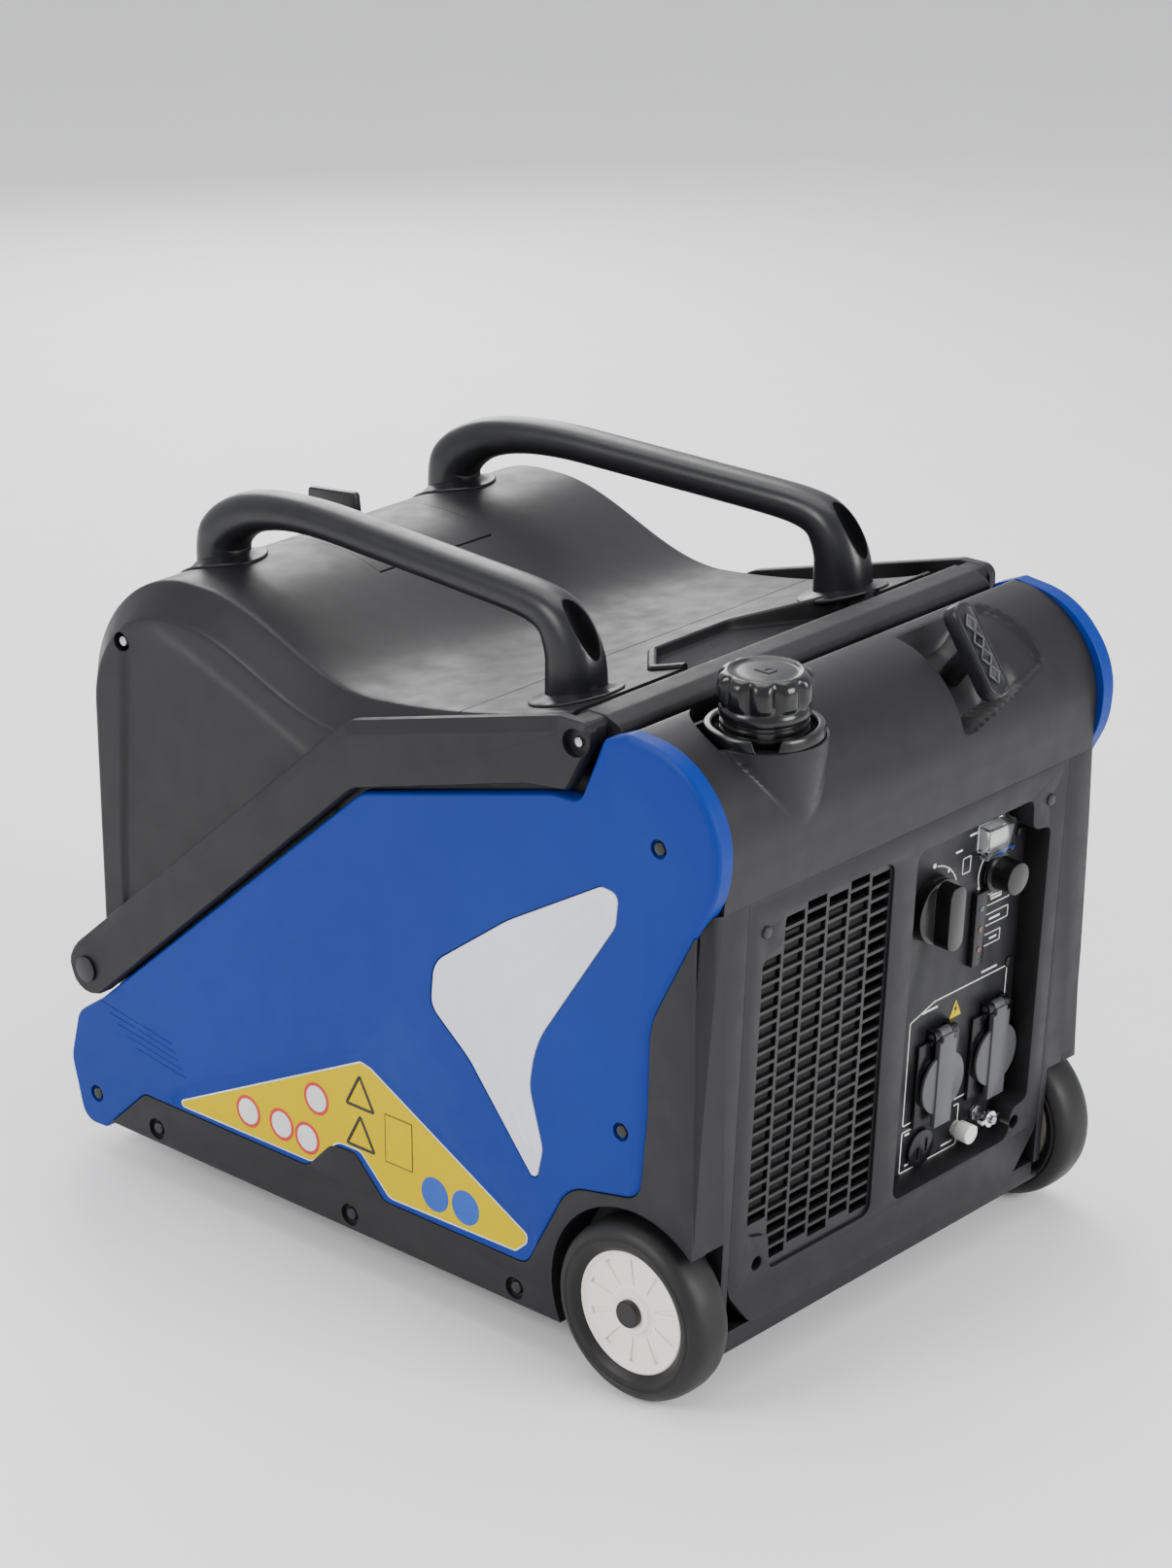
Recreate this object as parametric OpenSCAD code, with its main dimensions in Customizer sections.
// Suitcase inverter generator on two wheels, with a folding tow handle.
// Millimetres. +X points at the control panel end, +Z is up and the origin is on
// the floor under the middle of the machine. "Left" is the -Y side.

/* [Overall] */
// Half the width over the two coloured side panels
side_y = 204; // [202:1:206]
// Depth of a side panel, from its outer face to the inner housing
panel_t = 14; // [12:1:15]
// Wall thickness of the moulded covers
wall = 4; // [3:0.5:5]
// Lean of the front face, in degrees: its lower edge is set back
lean = 2.88; // [2.5:0.1:3.2]

/* [Wheels] */
// Radius of a tyre
wheel_r = 62; // [60:0.5:63]
// Width of a tyre
wheel_w = 35; // [33:1:36]
// Axle position along the machine
axle_x = 236; // [234:1:238]
// Distance of each tyre's middle from the centre plane
wheel_y = 194; // [193:0.5:195]
// Radius of the white wheel disc
disc_r = 42.5; // [40:0.5:44]

/* [Tow handle] */
// Pivot position along the machine
pivot_x = -276; // [-278:1:-275]
// Pivot height
pivot_z = 148; // [147:1:150]
// Thickness of a handle arm
arm_t = 11; // [10:0.5:12]

/* [Carry handles] */
// Height of the bar's centre line above the floor
carry_z = 493; // [490:1:495]
// Distance of the front feet from the centre plane
carry_front_y = 134; // [132:1:136]
// Distance of the rear feet from the centre plane
carry_rear_y = 114; // [112:1:116]

/* [Controls] */
// Depth of the control panel behind the bezel's face
panel_depth = 20; // [19:0.5:21]
// Radius of a socket flap's disc
flap_r = 22.5; // [21:0.5:22.5]
// Radius of the engine switch's base
switch_r = 23; // [21:0.5:24]

/* [Hidden] */
$fn = 48;

// Colours
charcoal = [0.16, 0.16, 0.17];
black = [0.05, 0.05, 0.055];
blue = [0.06, 0.25, 0.62];
silver = [0.75, 0.75, 0.78];
steel = [0.62, 0.63, 0.65];
cast = [0.5, 0.51, 0.52];

// Shared places
panel_in = side_y - panel_t;      // inner face of a side panel
tub_y = panel_in - 0.2;           // outer face of the inner housing
rail_y = side_y - 0.5;            // outer face of the bottom rails and columns
hood_y = 196;                     // half the width of the hood
hood_z = 150;                     // lower edge of the hood
floor_z = 30;                     // underside of the housing
rear_x = -289;                    // rear face of the housing
hood_front = 160;                 // front edge of the hood
shoulder_r = 100;                 // rear shoulder of the hood
top_z = 447;                      // highest part of the hood
dip_z = 408;                      // lowest part of the saddle
front_x = 294.2;                  // a point of the leaning front face
front_z = 325.1;
arch_r = 71;                      // wheel arch
axle_r = 8;
bezel_y = 165;                    // half the width of the bezel
seam_z = 349.6;                   // lower edge of the front shell
neck = [264, -116];               // fuel neck centre
collar_r = 38;
crank = [20, 165];                // crankshaft axis in Y and Z
well_at = [268, 77, 433];         // middle of the recoil well on the shell
well_tilt = 39;                   // slope of the recoil well's floor
rope_len = 190;
socket_z = 138;
socket_y = [67, 126];
lid_x = [-245, -130];             // service lid, from rear to hinge
boss_r = 14;                      // tow handle pivot boss
socket_r = 21;                    // body of a mains socket
// Places of the controls on the panel, in Y and height
switch_at = [49, 271];
choke_at = [118, 276];
eco_at = [110, 304];
led_at = [100, 240];
dc_at = [56, 90];
breaker_at = [97, 89];
earth_at = [117, 94];
lid_y = 55;
lid_hinge = [-129.9, 438];        // hinge line of the service lid, in X and Z
latch_x = -229;
latch_z = 444;

// ---- helpers ----------------------------------------------------------------

function unit2(v) = v / norm(v);
function arc(c, r, a0, a1, n) =
    [for (i = [0:n]) c + r * [cos(a0 + (a1 - a0) * i / n), sin(a0 + (a1 - a0) * i / n)]];

// One corner of an outline, rounded to radius r where r is above zero
function corner(a, b, c, r, n) = r <= 0 ? [b] :
    let (u = unit2(a - b), v = unit2(c - b),
         half = acos(max(-1, min(1, u * v))) / 2,
         m = b + unit2(u + v) * (r / sin(half)),
         s = b + u * (r / tan(half)) - m,
         e = b + v * (r / tan(half)) - m,
         a0 = atan2(s[1], s[0]),
         d = atan2(e[1], e[0]) - a0,
         turn = d > 180 ? d - 360 : d < -180 ? d + 360 : d)
    arc(m, r, a0, a0 + turn, n);
function xy(p) = [p[0], p[1]];

// An outline from corner points [x, y, radius]
function rounded(p, n = 5) = [for (i = [0:len(p) - 1])
    each corner(xy(p[(i + len(p) - 1) % len(p)]), xy(p[i]), xy(p[(i + 1) % len(p)]), p[i][2], n)];

// A plate whose outline lies in the XZ plane, from y0 to y1
module plate_xz(points, y0, y1)
    translate([0, y1, 0]) rotate([90, 0, 0]) linear_extrude(y1 - y0) polygon(points);

// A plate whose outline lies in the YZ plane, from x0 to x1
module plate_yz(points, x0, x1)
    translate([x0, 0, 0]) rotate([90, 0, 90]) linear_extrude(x1 - x0) polygon(points);

module both_sides() { children(); mirror([0, 1, 0]) children(); }
module along_y(r, h) rotate([90, 0, 0]) cylinder(r = r, h = h, center = true);
module along_x(r, h) rotate([0, 90, 0]) cylinder(r = r, h = h);

// Places children in the leaning front face: X out of the face, Y and Z along it
module on_front(off = 0, y = 0, z = front_z)
    translate([front_x, 0, front_z]) rotate([0, lean, 0])
        translate([off, y, (z - front_z) / cos(lean)]) children();

// Places children on the control panel's face
module on_panel(y, z) on_front(-panel_depth, y, z) children();

// Places children in the recoil well: Z out along the pull, X down the slope
module on_well() translate(well_at) rotate([0, well_tilt, 0]) children();

// A closed skin through rings of points that all have the same count
module skin(rings) {
    n = len(rings[0]);
    m = len(rings);
    pts = [for (r = rings) each r];
    sides = [for (i = [0:m - 2], j = [0:n - 1])
        [i * n + j, i * n + (j + 1) % n, (i + 1) * n + (j + 1) % n, (i + 1) * n + j]];
    caps = [[for (j = [n - 1:-1:0]) j], [for (j = [0:n - 1]) (m - 1) * n + j]];
    polyhedron(points = pts, faces = concat(sides, caps), convexity = 6);
}

// ---- outlines ---------------------------------------------------------------

// The coloured side panel, seen from the left
panel_outline = rounded([[209, 446, 4], [228, 454, 6], [268, 448, 22], [303, 408, 40],
    [301, 368, 60], [249, 268, 60], [247, 205, 20], [241, 143, 16], [180, 131, 30],
    [143, 62, 12], [12, 62, 8], [-15, 89, 9], [-38, 88, 14], [-62, 63.5, 12],
    [-226, 63.5, 8], [-270, 23, 3], [-292, 22, 14], [-304, 70, 26], [-294, 108, 16],
    [-268, 126, 3], [-2, 354.5, 24], [166, 399.5, 20], [190, 400.5, 10]]);

// The silver insert
insert_outline = rounded([[220.5, 350, 1.5], [218.5, 341, 3], [148, 258, 90], [146, 196, 60],
    [160, 160, 40], [153, 127, 4], [143, 132, 4], [57, 222, 18], [61, 254, 22],
    [120, 305, 120]]);

// One tow handle arm
arm_outline = rounded([[pivot_x - 28, pivot_z + 3, 20.2], [pivot_x - 1, pivot_z - 28, 20.2],
    [-4.8, 357.6, 24], [150, 402.5, 30], [183, 406.5, 8], [199.5, 437, 10], [200, 454, 8],
    [174, 453.5, 10], [-12, 402.5, 30]]);

// Cross-bar section: the lower rear edge is tucked in so that it can swing out
bar_outline = rounded([[180, 424, 4], [205, 421, 7], [211, 432, 6], [209, 449, 7],
    [196, 454, 8], [180, 454, 6], [170, 447, 4], [171, 438, 4]]);
// The bar's ends are narrower, where they pass between the side panels
bar_end_outline = rounded([[181, 425, 3], [189.5, 423, 4], [198, 438, 5], [198, 453, 6],
    [181, 453, 5], [171.2, 446.4, 3], [172, 438.4, 3]]);

// Front shell section, moved in by t
function shell_outline(t) = [[222 + t, 395], each corner([222 + t, 395], [222 + t, 453 - t],
    [297 - t, 453 - t], 5, 3), each corner([222 + t, 453 - t], [297 - t, 453 - t],
    [297.5 - t, 365], 68 - 1.6 * t, 12), [297.2 - t, 372], [295.4 - t, seam_z]];

// ---- hood -------------------------------------------------------------------

// Height of the hood's top along the machine
function ease(t) = (1 - cos(180 * max(0, min(1, t)))) / 2;
function hood_top(x) = x < rear_x + shoulder_r
    ? top_z - shoulder_r + sqrt(max(0, pow(shoulder_r, 2) - pow(x - rear_x - shoulder_r, 2)))
    : x < -20 ? top_z - (top_z - dip_z) * ease((x + 175) / 150)
    : dip_z + (top_z - 2 - dip_z) * (0.6 * pow((x + 20) / 180, 2) + 0.4 * (x + 20) / 180);

// Half width of the hood: the rear corners are round in plan
plan_r = 40;
function hood_half(x) = x < rear_x + plan_r
    ? hood_y - plan_r + sqrt(max(0, pow(plan_r, 2) - pow(x - rear_x - plan_r, 2))) : hood_y;

// A section of the hood at x, moved in by t, with round upper edges
edge_r = 30;
function hood_ring(x, t, z0) = let (w = hood_half(x) - t, h = hood_top(x) - t, r = edge_r - t)
    [for (p = concat([[-w, z0]], arc([-w + r, h - r], r, 180, 90, 6),
        arc([w - r, h - r], r, 90, 0, 6), [[w, z0]])) [x, p[0], p[1]]];
hood_x = [rear_x, -288, -285, -280, -273, -264, -252, -240, -225, -208, -189, -175, -155,
    -135, -115, -95, -75, -55, -35, -20, 0, 25, 50, 75, 100, 130, hood_front];
module hood_solid(t, z0, x_end)
    skin([for (x = hood_x) let (f = (x - rear_x) / (hood_front - rear_x))
        [for (p = hood_ring(x, t, z0)) [p[0] + t * (1 - f) + (x_end - hood_front) * f, p[1], p[2]]]]);

// The recess that lets a hand reach round the tow handle's cross-bar
function recess_outline(g) = rounded([[94 - g, -22 - g, 6], [134, -68 - g, 6],
    [170, -68 - g, 0], [170, 122 + g, 0], [132, 122 + g, 20], [94 - g, 52 + g, 24]]);

channel_z = 402;                  // floor of the tow bar's channel
tray_z = 422;                     // floor of the hand recess
module hood() color(charcoal) {
    difference() {
        union() {
            difference() {
                hood_solid(0, hood_z, hood_front);
                hood_solid(wall, hood_z - 5, hood_front + 6);
            }
            intersection() {
                translate([hood_front - 4, -185.4, channel_z - wall]) cube([4, 370.8, 60]);
                hood_solid(0.5, hood_z, hood_front);
            }
            intersection() {
                translate([0, 0, tray_z - wall]) linear_extrude(40) polygon(recess_outline(3));
                hood_solid(wall - 0.5, hood_z, hood_front);
            }
        }
        both_sides() plate_xz(panel_outline, panel_in - 0.4, side_y + 10);
        translate([0, 0, tray_z]) linear_extrude(40) polygon(recess_outline(0));
        translate([lid_x[0] - 0.6, -lid_y - 0.6, 400])
            cube([lid_x[1] - lid_x[0] + 1.2, 2 * lid_y + 1.2, 60]);
        translate([lid_hinge[0], 0, lid_hinge[1]]) along_y(1.9, 2 * lid_y + 1.2);
        translate([rear_x - 5, -132, 176]) cube([20, 264, 164]);
        both_sides() {
            translate([-239, hood_y, 399]) along_y(7, 5);
            translate([pivot_x, 175, pivot_z]) along_y(boss_r + 0.3, 60);
        }
    }
    translate([hood_front - 1, -185.4, channel_z - wall]) cube([221.6 - hood_front + 1, 370.8, wall]);
}

// ---- housing ----------------------------------------------------------------

module housing_plan(t)
    polygon(rounded([[rear_x + t, -tub_y + t, plan_r - t], [278 - t, -tub_y + t, 0],
        [278 - t, tub_y - t, 0], [rear_x + t, tub_y - t, plan_r - t]], 8));

module lower_housing() color(charcoal) difference() {
    union() {
        difference() {
            translate([0, 0, floor_z]) linear_extrude(hood_z - floor_z) housing_plan(0);
            translate([0, 0, floor_z + wall]) linear_extrude(hood_z) housing_plan(wall);
            translate([270, -200, floor_z + wall]) cube([20, 400, 200]);
        }
        both_sides() {
            plate_xz([[hood_front + 3, hood_z - 1], [276, hood_z - 1], [282, seam_z - 1],
                [221.5, seam_z - 1], [221.5, 409.6], [hood_front + 3, 409.6]], tub_y - wall, tub_y);
            plate_xz([[-262, floor_z], [-224, 76], [-60, 90], [190, 150], [228, 150],
                [228, seam_z], [284, seam_z], [284, 52], [264, floor_z]], tub_y - 1, rail_y);
            intersection() {
                on_front(-9, bezel_y + 0.3, 44) cube([9, rail_y - bezel_y - 0.3, 306]);
                translate([0, 0, 40]) linear_extrude(seam_z - 40)
                    polygon(rounded([[200, 0, 0], [297, 0, 0], [297, rail_y, 22], [200, rail_y, 0]]));
            }
            intersection() {
                translate([axle_x, tub_y - 11, wheel_r]) along_y(arch_r + 3, 22);
                translate([100, 100, floor_z]) cube([174, 200, 200]);
            }
        }
        translate([270, -166, floor_z]) cube([8, 332, 14]);
        both_sides() translate([pivot_x, (172 + arm_in - 0.5) / 2, pivot_z])
            along_y(boss_r, arm_in - 0.5 - 172);
    }
    both_sides() {
        plate_xz(panel_outline, tub_y, side_y + 10);
        translate([axle_x, 172 + 25, wheel_r]) along_y(arch_r, 50);
        translate([axle_x, 170, wheel_r]) along_y(axle_r, 60);
    }
}

module front_shell() color(charcoal) difference() {
    union() {
        difference() {
            plate_xz(shell_outline(0), -tub_y, tub_y);
            plate_xz(concat([[222 + wall, 380]], shell_outline(wall), [[295 - wall, 340]]),
                -tub_y - 1, tub_y + 1);
        }
        translate([neck[0], neck[1], 412]) cylinder(r = collar_r + 4, h = 24);
    }
    translate([neck[0], neck[1], 405]) cylinder(r = collar_r, h = 60);
    on_well() translate([-36, -29, -20]) cube([76, 92, 60]);
}

// The tray under the starter grip, trimmed to the shell's own surface
module recoil_well() color(charcoal) difference() {
    intersection() {
        on_well() difference() {
            translate([-36, -29, -20]) cube([76, 92, 60]);
            translate([-33, -26, -17]) cube([70, 86, 60]);
        }
        plate_xz(shell_outline(0), -tub_y, tub_y);
    }
    on_well() translate([0, 0, -30]) cylinder(r = 5, h = 40);
}

module rear_panel() color(charcoal) difference() {
    union() {
        translate([rear_x - 1, -131.6, 176.4]) cube([6, 263.2, 163.2]);
        translate([rear_x - 3, 20, 262]) along_x(44, 6);
    }
    for (i = [0:11]) translate([rear_x - 4, -118, 192 + i * 11.5]) cube([12, 84, 5]);
    for (i = [0:4]) translate([rear_x - 4, 88, 192 + i * 11.5]) cube([12, 32, 5]);
    translate([rear_x - 6, 20, 262]) along_x(27, 20);
}

module front_bezel() color(charcoal) on_front() difference() {
    union() {
        plate_yz(rounded([[-bezel_y, local_z(349.5), 0], [-bezel_y, local_z(74), 22],
            [-140, local_z(44), 12], [140, local_z(44), 12], [bezel_y, local_z(74), 22],
            [bezel_y, local_z(349.5), 0]]), -6, 0);
        plate_yz(window_outline(3), -panel_depth, -5);
    }
    plate_yz(window_outline(0), -panel_depth - 1, 1);
    plate_yz(grille_outline(0), -7, 1);
    for (y = [-147, 147], z = [325.1]) translate([-8, y, local_z(z)]) along_x(2.5, 10);
    for (y = [-137, 137]) translate([-8, y, local_z(86.7)]) along_x(5, 10);
}
function local_z(z) = (z - front_z) / cos(lean);

// The control panel's window, with its two outer corners kept for the screws
function window_outline(g) = rounded([[4 - g, local_z(76 - g), 8], [4 - g, local_z(331 + g), 8],
    [128 + g, local_z(331 + g), 6], [130 + g, local_z(308 + g), 8], [150 + g, local_z(305 + g), 6],
    [150 + g, local_z(100 - g), 6], [133 + g, local_z(98 - g), 8], [131 + g, local_z(76 - g), 8]]);
function grille_outline(g) = rounded([[-149 + g, local_z(110), 8], [-149 + g, local_z(306), 8],
    [-130, local_z(312), 8], [-128, local_z(333 - g), 6], [-20 - g, local_z(333 - g), 8],
    [-20 - g, local_z(77 + g), 8], [-124, local_z(77 + g), 6], [-127, local_z(104), 8]]);

grille_columns = 6;
grille_rows = 27;
module intake_grille() color(charcoal) on_front() translate([-6, 0, 0]) difference() {
    plate_yz(grille_outline(0), 0, 4);
    for (i = [0:grille_columns - 1], j = [0:grille_rows - 1]) {
        pitch_y = 129 / grille_columns;
        pitch_z = 256 / grille_rows;
        y = -149 + (i + 0.5) * pitch_y;
        z = 77 + (j + 0.25 + 0.5 * (i % 2)) * pitch_z;
        if (z > 84 && z < 326 && (y > -130 || (z > 112 && z < 300)))
            translate([-1, y - pitch_y / 2 + 2, local_z(z)]) cube([6, pitch_y - 4, pitch_z - 3.6]);
    }
}

module control_panel() color(black) on_panel(0, front_z) difference() {
    translate([-3, -4, local_z(68)]) cube([3, 170, local_z(338) - local_z(68)]);
    for (y = socket_y) translate([-4, y, local_z(socket_z)]) along_x(socket_r, 5);
    translate([-4, dc_at[0], local_z(dc_at[1])]) along_x(12, 5);
    translate([-4, switch_at[0], local_z(switch_at[1])]) along_x(5, 5);
    translate([-4, choke_at[0], local_z(choke_at[1])]) along_x(4, 5);
    translate([-4, eco_at[0] - 11, local_z(eco_at[1]) - 8]) cube([5, 22, 16]);
    translate([-4, breaker_at[0], local_z(breaker_at[1])]) along_x(6, 5);
    translate([-4, earth_at[0], local_z(earth_at[1])]) along_x(3, 5);
}

// ---- side panels and trims --------------------------------------------------

// The panel's tail turns inwards round the rear corner
module side_panel() difference() {
    plate_xz(panel_outline, 160, side_y);
    translate([rear_x - 0.4, 159, 10]) cube([620, panel_in - 159, 460]);
    plate_xz(insert_outline, side_y - 3, side_y + 1);
    for (p = panel_screw_at) translate([p[0], side_y, p[1]]) along_y(6.5, 5);
}
panel_screw_at = [[255, 387], [225, 186], [-277, 48]];
rail_screw_at = [[-214.5, 40.5], [-21, 40.5], [132, 40.5]];

module left_side_panel() color(blue) mirror([0, 1, 0]) side_panel();
module right_side_panel() color(blue) side_panel();
module side_inserts() color(silver) both_sides() plate_xz(insert_outline, side_y - 3, side_y + 0.6);

module screw_y(r, h) union() {
    along_y(r, h);
    translate([0, h / 2, 0]) along_y(r * 0.45, 1);
}
module black_screws() color(black) both_sides() {
    for (p = panel_screw_at) translate([p[0], side_y - 1.5, p[1]]) screw_y(5, 2);
    for (p = rail_screw_at) translate([p[0], rail_y + 0.5, p[1]]) screw_y(5, 1);
}
module zinc_screws() color(steel) {
    both_sides() translate([-239, hood_y - 1.6, 399]) screw_y(4.5, 1.8);
    translate([130, -6, tray_z]) cylinder(r = 4.5, h = 2);
}
module bezel_screws() color(steel) {
    for (y = [-147, 147]) on_front(-8, y, 325.1) {
        along_x(2.5, 8);
        translate([8, 0, 0]) along_x(5.5, 1.5);
    }
    for (p = [[143, 297], [143, 200], [13, 318], [13, 90]]) on_panel(p[0], p[1]) along_x(4, 1.6);
}

// ---- carry handles ----------------------------------------------------------

carry_feet = [[124, carry_front_y, 441.5], [-222, carry_rear_y, 447.5]];
// Centre line of a carry handle in X and Z, with its radius along and across
carry_line = [[124, 441.5, 21, 17], [124, 450, 20.5, 17], [121.5, 464, 19, 16.5],
    [115, 476.5, 16.8, 16], [106, 484.5, 14.5, 15.5], [92, 488.5, 13, 15],
    [70, carry_z - 2.5, 12.3, 15], [20, carry_z - 1, 12, 15], [-60, carry_z + 1, 12, 15],
    [-110, carry_z + 2, 12, 15], [-145, carry_z, 12.4, 15], [-172, 488.5, 13.5, 15.5],
    [-192, 482, 15, 16], [-206, 474, 16.5, 16.5], [-216, 465, 18, 17], [-221, 455, 19, 17],
    [-222, 447.5, 19, 17]];
function carry_y(x) = carry_rear_y + (carry_front_y - carry_rear_y) * (x + 222) / 346;
function carry_dir(i) = let (n = len(carry_line) - 1, a = carry_line[max(0, i - 1)],
    b = carry_line[min(n, i + 1)])
    i == 0 ? [0, 1] : i == n ? [0, -1] : unit2([b[0] - a[0], b[1] - a[1]]);
module carry_handle() {
    sides = 16;
    skin([for (i = [0:len(carry_line) - 1]) let (p = carry_line[i], d = carry_dir(i))
        [for (j = [0:sides - 1]) let (a = 360 * j / sides)
            [p[0] - d[1] * p[2] * cos(a), carry_y(p[0]) + p[3] * sin(a), p[1] + d[0] * p[2] * cos(a)]]]);
}
module left_carry_handle() color(black) mirror([0, 1, 0]) carry_handle();
module right_carry_handle() color(black) carry_handle();

module handle_gaskets() color(black) both_sides() difference() {
    for (f = carry_feet) translate([f[0], f[1], f[2] - 20]) cylinder(r = 28, h = 20);
    hood_solid(0, hood_z, hood_front);
}

// ---- tow handle -------------------------------------------------------------

arm_in = hood_y + 1.5;
arm_screw = [190, 440];
module tow_handle() color(charcoal) difference() {
    union() {
        both_sides() plate_xz(arm_outline, arm_in, arm_in + arm_t);
        plate_xz(bar_end_outline, -arm_in - 1, arm_in + 1);
        plate_xz(bar_outline, 4 - tub_y, tub_y - 4);
    }
    both_sides() {
        translate([pivot_x, arm_in, pivot_z]) along_y(8.05, 60);
        translate([arm_screw[0], arm_in + arm_t, arm_screw[1]]) along_y(6.5, 8);
    }
}
module tow_handle_screws() color(steel) both_sides()
    translate([arm_screw[0], arm_in + arm_t - 3, arm_screw[1]]) screw_y(5, 2);
module tow_pivot_pins() color(black) both_sides() {
    translate([pivot_x, 0, pivot_z]) {
        translate([0, arm_in + (arm_t + 1) / 2 - 0.5, 0]) along_y(8, arm_t + 1);
        translate([0, arm_in + arm_t + 1.5, 0]) along_y(9.5, 2);
    }
}

// ---- wheels -----------------------------------------------------------------

module tyre() rotate([90, 0, 0]) rotate_extrude() polygon(rounded([[disc_r + 0.0, -wheel_w / 2 + 5, 0],
    [disc_r + 5, -wheel_w / 2, 4], [wheel_r, -wheel_w / 2, 7.5], [wheel_r, wheel_w / 2, 7.5],
    [disc_r + 5, wheel_w / 2, 4], [disc_r, wheel_w / 2 - 5, 0]]));
module wheel_disc() rotate([90, 0, 0]) difference() {
    union() {
        cylinder(r = disc_r, h = 22, center = true);
        cylinder(r = 14, h = 30, center = true);
    }
    cylinder(r = axle_r + 0.05, h = 60, center = true);
}
module wheel_at(s) translate([axle_x, s * wheel_y, wheel_r]) children();
module left_tyre() color(black) wheel_at(-1) tyre();
module right_tyre() color(black) wheel_at(1) tyre();
module left_wheel_disc() color("ivory") wheel_at(-1) wheel_disc();
module right_wheel_disc() color("ivory") wheel_at(1) wheel_disc();
module wheel_axle() color(steel) {
    translate([axle_x, 0, wheel_r]) along_y(axle_r, 2 * (wheel_y + 17));
    both_sides() translate([axle_x, wheel_y + 16.4, wheel_r]) along_y(11, 2);
}

module rear_feet() color(black) both_sides()
    translate([-230, 118, 0]) cylinder(r1 = 15, r2 = 18, h = floor_z);

// ---- fuel -------------------------------------------------------------------

module fuel_collar() color(black) translate([neck[0], neck[1], 436]) difference() {
    cylinder(r = collar_r, h = 18);
    translate([0, 0, 3]) cylinder(r = 33.5, h = 20);
    translate([0, 0, -1]) cylinder(r = 27, h = 20);
    rotate([0, 0, -48]) translate([20, -7, 8]) cube([30, 14, 20]);
}
module fuel_tank() color(black) difference() {
    union() {
        translate([120, -176, 330]) cube([148, 216, 60]);
        translate([120, -176, 356]) cube([170, 216, 34]);
        translate([neck[0], neck[1], 386]) cylinder(r = 26.5, h = 66);
        for (z = [443, 447.5]) translate([neck[0], neck[1], z]) cylinder(r = 28, h = 2);
    }
    translate([neck[0], neck[1], 380]) cylinder(r = 22, h = 80);
    translate([124, -172, 334]) cube([140, 208, 52]);
    translate([124, -172, 360]) cube([162, 208, 26]);
}
module fuel_cap() color(black) translate([neck[0], neck[1], 453]) difference() {
    union() {
        cylinder(r = 29, h = 29);
        for (i = [0:9]) rotate([0, 0, 36 * i]) translate([22.5, 0, 0]) cylinder(r = 8, h = 28);
    }
    translate([0, 0, -1]) cylinder(r = 24.5, h = 6);
}

// ---- recoil starter ---------------------------------------------------------

module recoil_grip() color(black) on_well() {
    rotate([0, 12, 0]) translate([-3.2, 0, 10.2]) difference() {
        linear_extrude(13) polygon(rounded([[-31, -10, 9], [31, -10, 9], [31, 10, 9], [-31, 10, 9]]));
        translate([0, 0, 12]) linear_extrude(3)
            polygon(rounded([[-26, -7, 6], [26, -7, 6], [26, 7, 6], [-26, 7, 6]]));
    }
    translate([0, 0, -12]) cylinder(r = 8, h = 25);
}
module recoil_rope() color("ivory") on_well()
    translate([0, 0, -12 - rope_len]) cylinder(r = 2.2, h = rope_len);
module recoil_reel() color(black) translate([146, crank[0], crank[1]]) difference() {
    union() {
        along_x(46, 10);
        along_x(54, 2);
        translate([8, 0, 0]) along_x(54, 2);
    }
    translate([-1, 0, 0]) along_x(8.05, 12);
}
module recoil_bracket() color(steel) translate([0, crank[0], crank[1]]) {
    difference() {
        union() {
            translate([160, 0, 0]) along_x(60, 3);
            for (a = [45:90:315]) rotate([a, 0, 0]) translate([160, -9, 50]) cube([3, 18, 58]);
        }
        for (a = [0:90:270]) rotate([a, 0, 0]) translate([159, 34, 0]) along_x(9, 5);
    }
    for (a = [45:90:315]) rotate([a, 0, 0]) translate([40, -8, 99]) cube([120.5, 16, 8]);
    translate([144, 0, 0]) along_x(8, 17);
}

// ---- engine and alternator --------------------------------------------------

module engine_block() color(cast) difference() {
    union() {
        translate([-110, crank[0] - 80, 70]) cube([150, 160, 170]);
        for (s = [-1, 1]) translate([-120, crank[0] + s * 82 - 14, 62]) cube([170, 28, 12]);
        translate([40, crank[0], crank[1]]) along_x(34, 8);
    }
    translate([-85, crank[0], crank[1]]) along_x(66, 100);
    translate([-120, crank[0], crank[1]]) along_x(26, 180);
    translate([-35, crank[0], 150]) cylinder(r = 34, h = 100);
}
module cylinder_head() color(cast) difference() {
    union() {
        translate([-90, crank[0] - 55, 240]) cube([110, 110, 76]);
        for (i = [0:5]) translate([-98, crank[0] - 63, 246 + i * 12]) cube([126, 126, 4]);
    }
    translate([-35, crank[0], 239]) cylinder(r = 34, h = 60);
    translate([-35, crank[0], 290]) cylinder(r = 6, h = 40);
}
module spark_plug() color("white") translate([-35, crank[0], 296]) {
    cylinder(r = 6, h = 20.1);
    translate([0, 0, 20.1]) cylinder(r = 10.5, h = 10, $fn = 6);
    translate([0, 0, 30]) cylinder(r = 5.5, h = 24);
}
module crank_bearings() color(steel) for (x = [-108, 22]) translate([x, crank[0], crank[1]])
    difference() { along_x(26, 15); translate([-1, 0, 0]) along_x(12.5, 17); }
module crankshaft() color(steel) translate([0, crank[0], crank[1]]) {
    translate([-118, 0, 0]) along_x(12.45, 70);
    translate([-16, 0, 0]) along_x(12.45, 154);
    for (x = [-60, -28]) translate([x, 0, 0]) along_x(46, 12);
    translate([-48, 0, 28]) along_x(14, 20);
}
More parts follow.
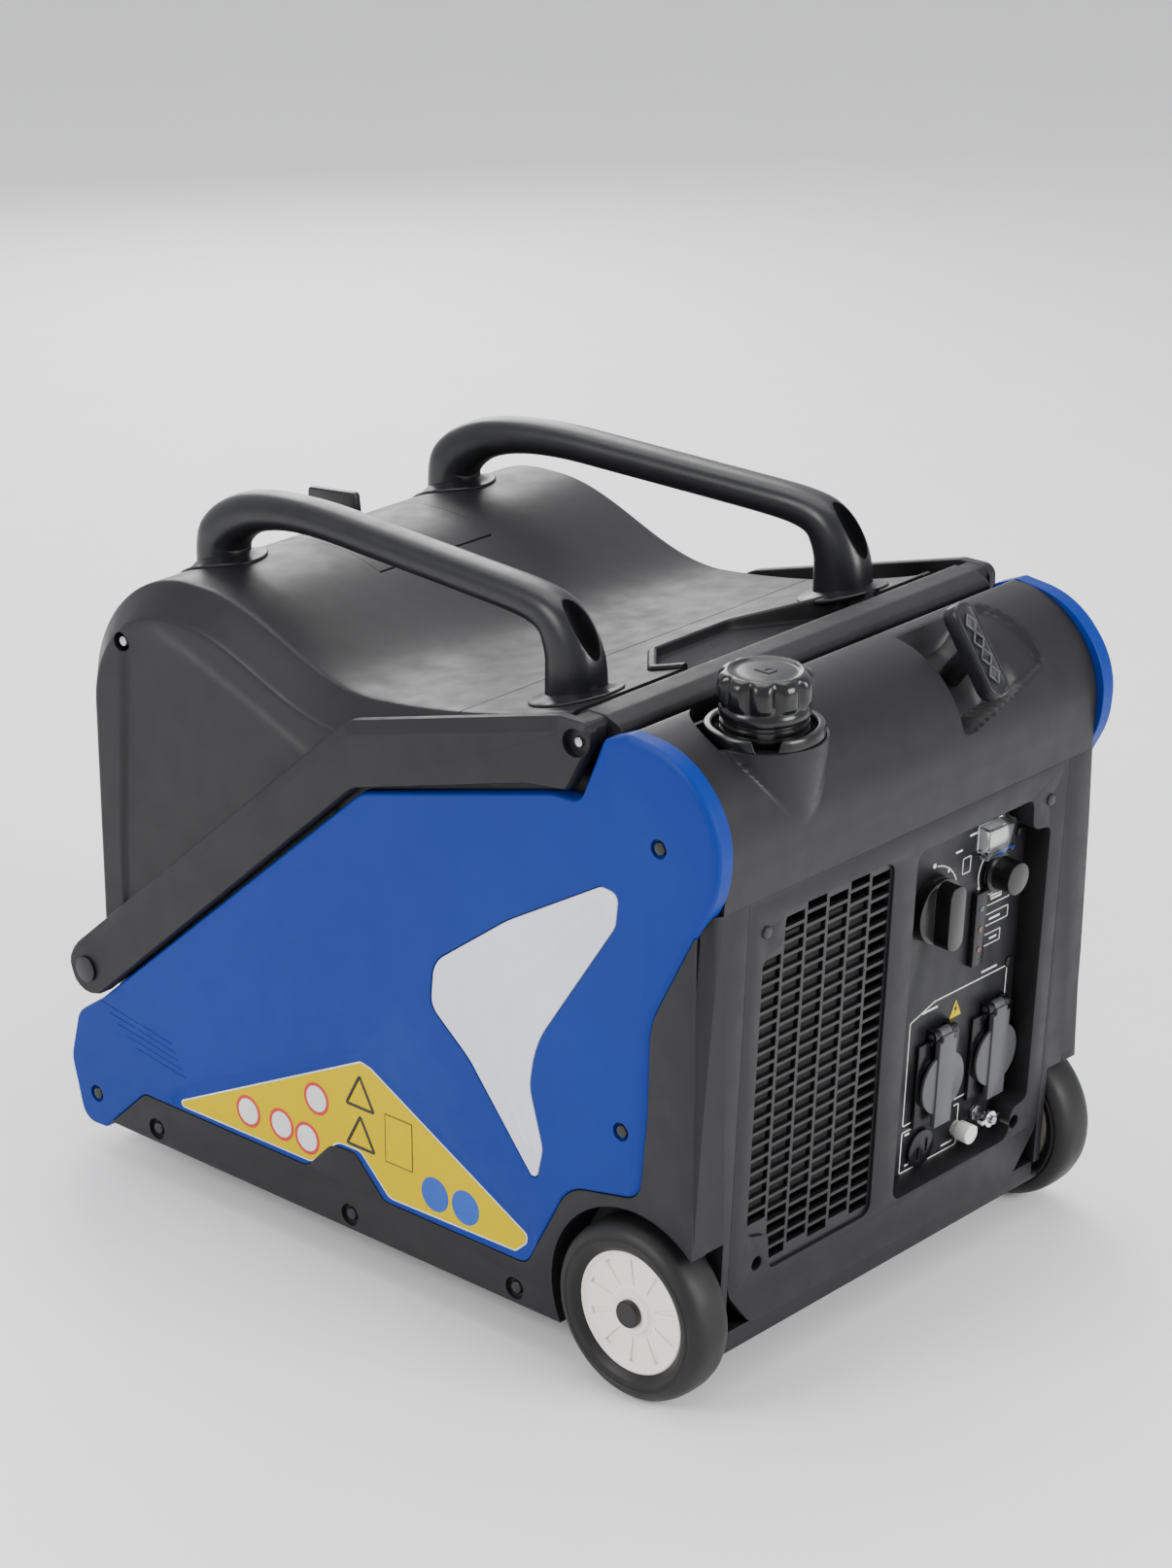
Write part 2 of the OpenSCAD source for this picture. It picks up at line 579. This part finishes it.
module stator() color("peru") translate([57, crank[0], crank[1]]) difference() {
    union() {
        along_x(66, 34);
        translate([-9, 0, 0]) along_x(30, 9);
    }
    translate([-10, 0, 0]) along_x(14, 60);
    for (i = [0:17]) rotate([20 * i, 0, 0]) translate([-1, -1.5, 48]) cube([36, 3, 20]);
}
module rotor() color(steel) translate([60, crank[0], crank[1]]) difference() {
    along_x(80, 50);
    translate([-1, 0, 0]) along_x(70, 40);
    along_x(12.45, 60);
}
module fan() color(black) translate([112, crank[0], crank[1]]) difference() {
    union() {
        along_x(34, 12);
        along_x(88, 2);
        for (i = [0:13]) rotate([i * 360 / 14, 0, 0]) translate([0, -1.5, 30]) cube([16, 3, 56]);
    }
    translate([-1, 0, 0]) along_x(12.45, 30);
}
module engine_mounts() color(black) for (x = [-100, 30], s = [-1, 1])
    translate([x, crank[0] + s * 82, floor_z + wall]) cylinder(r = 13, h = 62 - floor_z - wall);
module muffler() color(steel) difference() {
    union() {
        translate([-268, -120, 205]) cube([120, 210, 120]);
        translate([-284, 20, 262]) along_x(22, 17);
        translate([-149, 0, 262]) along_x(16, 51);
    }
    translate([-266, -118, 207]) cube([116, 206, 116]);
    translate([-285, 20, 262]) along_x(20, 30);
    translate([-160, 0, 262]) along_x(13, 70);
}
module air_filter_box() color(black) translate([-90, -178, 150]) cube([110, 60, 120]);
module carburettor() color(cast) {
    translate([-60, -118, 262]) cube([46, 52, 44]);
    translate([-38, -54.5, 284]) along_y(14, 23);
}
module inverter_module() color(steel) translate([184, 20, 74]) difference() {
    cube([56, 140, 100]);
    for (i = [0:9]) translate([-1, 8 + i * 13, 10]) cube([22, 7, 100]);
}

// ---- controls ---------------------------------------------------------------

module engine_switch_knob() color(black) on_panel(switch_at[0], switch_at[1]) {
    translate([0.4, 0, 0]) along_x(switch_r, 9);
    translate([9, 0, 0]) rotate([90, 0, 90]) linear_extrude(13)
        polygon(rounded([[-8, -24, 7], [8, -24, 7], [8, 22, 7], [-8, 22, 7]]));
    translate([-8, 0, 0]) along_x(4.95, 9);
}
module choke_knob() color(black) on_panel(choke_at[0], choke_at[1]) {
    translate([0.4, 0, 0]) along_x(14.5, 5);
    translate([5, 0, 0]) along_x(11.5, 15);
    translate([-8, 0, 0]) along_x(3.95, 9);
}
module eco_switch_cover() color([0.9, 0.9, 0.95, 0.4]) on_panel(eco_at[0], eco_at[1]) difference() {
    translate([0, -15, -11.5]) cube([9.6, 30, 23]);
    translate([-1, -12, -8.5]) cube([9.2, 24, 17]);
}
module eco_rocker() color(black) on_panel(eco_at[0], eco_at[1]) intersection() {
    translate([-4, -10.5, -6.6]) cube([11, 21, 13.2]);
    translate([-4, 0, 0]) along_y(10.8, 30);
}
module led_strip() color(charcoal) on_panel(led_at[0], led_at[1])
    translate([0, -6, -27]) cube([5, 12, 54]);
module ac_sockets() color(black) for (y = socket_y) on_panel(y, socket_z) difference() {
    union() {
        translate([0, -22, -30]) cube([3, 44, 62]);
        translate([-18, 0, 0]) along_x(socket_r, 24);
        for (s = [-1, 1]) translate([0, s * 9 - 3, 0]) {
            translate([0, 0, 30]) cube([5, 6, 10.9]);
            translate([flap_pin[0], 3, flap_pin[1]]) along_y(3.9, 6);
        }
    }
    translate([-13, 0, 0]) along_x(18.5, 30);
    for (s = [-1, 1]) translate([-17, s * 9.5, 0]) along_x(2.5, 10);
    translate([5, -13, 37]) rotate([-90, 0, 0]) cylinder(r = 2, h = 26);
}
// The flap hangs from a pin along Y above its socket
flap_pin = [5, 37];
module socket_flap(y) color(black) on_panel(y, socket_z) {
    translate([6.4, 0, 0]) along_x(flap_r, 2.4);
    translate([6.4, -9, -31]) cube([4.2, 18, 63.5]);
    translate([flap_pin[0], -5.6, 31]) cube([5.6, 11.2, 6]);
    translate([flap_pin[0], 0, flap_pin[1]]) {
        along_y(3.9, 11.2);
        along_y(1.95, 23.6);
    }
}
module left_socket_flap() socket_flap(socket_y[0]);
module right_socket_flap() socket_flap(socket_y[1]);
module dc_socket() color(black) on_panel(dc_at[0], dc_at[1]) difference() {
    union() {
        along_x(13.5, 3);
        translate([-12, 0, 0]) along_x(11.8, 12);
    }
    for (p = [[-5, -3], [4, 1]]) translate([-8, p[0], p[1] - 5]) cube([12, 2, 10]);
}
module breaker_button() color("white") on_panel(breaker_at[0], breaker_at[1]) {
    translate([-8, 0, 0]) along_x(5.7, 12);
    translate([3.4, 0, 0]) along_x(7, 10.6);
}
module earth_bolt() color("gold") on_panel(earth_at[0], earth_at[1]) {
    translate([-10, 0, 0]) along_x(2.9, 28);
    along_x(6, 3, $fn = 6);
}
module earth_wing_nut() color(steel) on_panel(earth_at[0], earth_at[1]) difference() {
    union() {
        translate([9, 0, 0]) along_x(6, 6);
        translate([10, -9.5, -1.5]) cube([5, 19, 3]);
    }
    translate([8, 0, 0]) along_x(2.96, 10);
}

// ---- service lid ------------------------------------------------------------

module service_lid() color(charcoal) {
    intersection() {
        difference() {
            hood_solid(0.2, hood_z, hood_front);
            hood_solid(wall, hood_z - 5, hood_front + 6);
        }
        translate([lid_x[0], -lid_y, 400]) cube([lid_x[1] - lid_x[0], 2 * lid_y, 60]);
    }
    translate([lid_hinge[0], 0, lid_hinge[1]]) along_y(1.5, 2 * lid_y);
    translate([latch_x, 0, 431]) cylinder(r = 13, h = latch_z - 0.4 - 431);
}
module lid_latch() color(black) translate([latch_x, 0, latch_z]) {
    cylinder(r = 12, h = 3);
    translate([0, 2.5, 3]) rotate([90, 0, 0]) linear_extrude(5)
        polygon(rounded([[-25, 0, 0], [25, 0, 0], [23, 19, 3], [-24, 14, 3]]));
}

// ---- the nodes --------------------------------------------------------------

lower_housing();
hood();
front_shell();
recoil_well();
rear_panel();
front_bezel();
intake_grille();
control_panel();
left_side_panel();
right_side_panel();
side_inserts();
left_carry_handle();
right_carry_handle();
handle_gaskets();
rear_feet();
black_screws();
zinc_screws();
bezel_screws();
fuel_collar();
fuel_tank();
eco_switch_cover();
led_strip();
ac_sockets();
dc_socket();
earth_bolt();
engine_block();
cylinder_head();
crank_bearings();
stator();
inverter_module();
muffler();
air_filter_box();
carburettor();
spark_plug();
engine_mounts();
recoil_bracket();
wheel_axle();
tow_pivot_pins();
fuel_cap();
recoil_grip();
recoil_rope();
recoil_reel();
engine_switch_knob();
choke_knob();
eco_rocker();
left_socket_flap();
right_socket_flap();
breaker_button();
earth_wing_nut();
tow_handle();
tow_handle_screws();
left_tyre();
left_wheel_disc();
right_tyre();
right_wheel_disc();
crankshaft();
rotor();
service_lid();
lid_latch();
fan();
